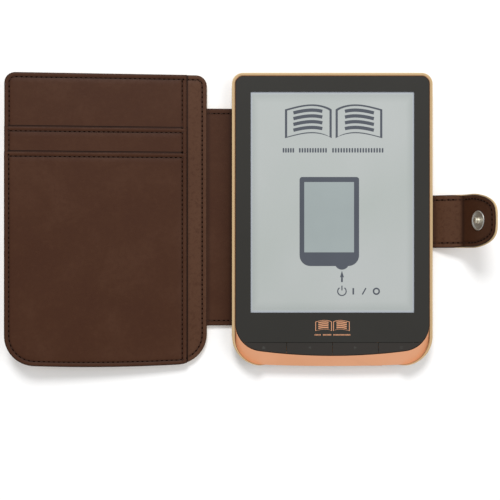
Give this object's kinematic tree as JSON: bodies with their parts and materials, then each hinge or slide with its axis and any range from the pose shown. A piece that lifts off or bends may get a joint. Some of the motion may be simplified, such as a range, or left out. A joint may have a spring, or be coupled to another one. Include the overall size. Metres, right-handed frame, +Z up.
{
  "type": "e-reader in folio case",
  "caption": "Slim six-inch e-reader with a key row, held in the cradle of a leather folio whose cover folds on a two-fold spine and closes with a press-stud strap.",
  "frame": {"origin": "centre of the reader in plan, on the back panel's outer face, where the case lies on a table", "axes": "+Z up out of the screen, +Y towards the top of the screen, +X towards the strap; the opened cover lies on -X"},
  "size_m": [0.2671, 0.1637, 0.0361],
  "materials": {
    "tan_leather": "smooth pull-up leather",
    "brown_leather": "smooth satin leather",
    "card": "matte",
    "foam": "matte",
    "copper_shell": "satin",
    "black_face": "fine matte",
    "black_keys": "fine matte",
    "screen_cover": "anti-glare over e-paper",
    "screen_paper": "matte",
    "clear_plastic": "clear",
    "frame_metal": "satin",
    "battery_pouch": "satin",
    "circuit_board": "satin",
    "chip_black": "matte",
    "connector_cream": "matte",
    "ribbon_amber": "satin",
    "steel": "satin",
    "fitting_metal": "polished"
  },
  "bodies": {
    "case_back": {"back_leather": "tan_leather", "back_board": "card", "back_lining": "brown_leather", "cradle_shell": "tan_leather", "strap_root": "tan_leather", "spine_margin_back": "tan_leather", "rear_shell": "copper_shell", "front_bezel": "black_face", "touch_film": "screen_cover", "light_guide": "clear_plastic", "light_strip": "ribbon_amber", "epaper_panel": "screen_paper", "mid_frame": "frame_metal", "battery": "battery_pouch", "battery_lead": "ribbon_amber", "main_board": "circuit_board", "processor": "chip_black", "memory_chip": "chip_black", "power_chip": "chip_black", "wifi_module": "steel", "board_connectors": "connector_cream", "display_ribbon": "ribbon_amber", "touch_ribbon": "ribbon_amber", "key_flex": "ribbon_amber", "key_domes": "steel", "power_switch": "steel", "hall_sensor": "chip_black", "status_led": "connector_cream", "light_pipe": "clear_plastic", "charging_port": "steel", "chassis_screws": "steel", "board_screws": "steel"},
    "spine": {"spine_leather": "tan_leather", "spine_lining": "brown_leather"},
    "front_cover": {"cover_leather": "tan_leather", "cover_padding": "foam", "cover_board": "card", "cover_lining": "brown_leather", "document_pocket": "brown_leather", "upper_card_pocket": "brown_leather", "lower_card_pocket": "brown_leather", "sleep_magnet": "steel", "snap_socket": "fitting_metal", "cover_badge": "fitting_metal", "spine_margin_cover": "tan_leather"},
    "strap_side": {"strap_side_leather": "tan_leather", "strap_side_lining": "brown_leather"},
    "strap_tip": {"strap_tip_leather": "tan_leather", "strap_tip_lining": "brown_leather", "snap_stud": "fitting_metal"},
    "home": {"home_key": "black_keys"},
    "page_back": {"page_back_key": "black_keys"},
    "page_forward": {"page_forward_key": "black_keys"},
    "menu": {"menu_key": "black_keys"},
    "power": {"power_button": "copper_shell"}
  },
  "joints": [
    {"name": "spine_fold", "type": "hinge", "parent": "case_back", "child": "spine", "pos_m": [-0.0566, 0, 0.0018], "axis": [0, 1, 0], "range_deg": [-2.5, 87.5]},
    {"name": "cover_fold", "type": "hinge", "parent": "spine", "child": "front_cover", "pos_m": [-0.06939, 0, 0.00236], "axis": [0, 1, 0], "range_deg": [-2.5, 87.5]},
    {"name": "strap_root_fold", "type": "hinge", "parent": "case_back", "child": "strap_side", "pos_m": [0.0582, 0, 0.0017], "axis": [0, -1, 0], "range_deg": [-27, 63]},
    {"name": "strap_tip_fold", "type": "hinge", "parent": "strap_side", "child": "strap_tip", "pos_m": [0.07353, 0, 0.00951], "axis": [0, -1, 0], "range_deg": [-40.5, 49.5]},
    {"name": "home_key_press", "type": "slide", "parent": "case_back", "child": "home", "axis": [0, 0, -1], "range_m": [0, 0.0004], "stiffness_N_per_m": 400},
    {"name": "page_back_key_press", "type": "slide", "parent": "case_back", "child": "page_back", "axis": [0, 0, -1], "range_m": [0, 0.0004], "stiffness_N_per_m": 400},
    {"name": "page_forward_key_press", "type": "slide", "parent": "case_back", "child": "page_forward", "axis": [0, 0, -1], "range_m": [0, 0.0004], "stiffness_N_per_m": 400},
    {"name": "menu_key_press", "type": "slide", "parent": "case_back", "child": "menu", "axis": [0, 0, -1], "range_m": [0, 0.0004], "stiffness_N_per_m": 400},
    {"name": "power_button_press", "type": "slide", "parent": "case_back", "child": "power", "axis": [0, 1, 0], "range_m": [0, 0.0004], "stiffness_N_per_m": 600}
  ]
}
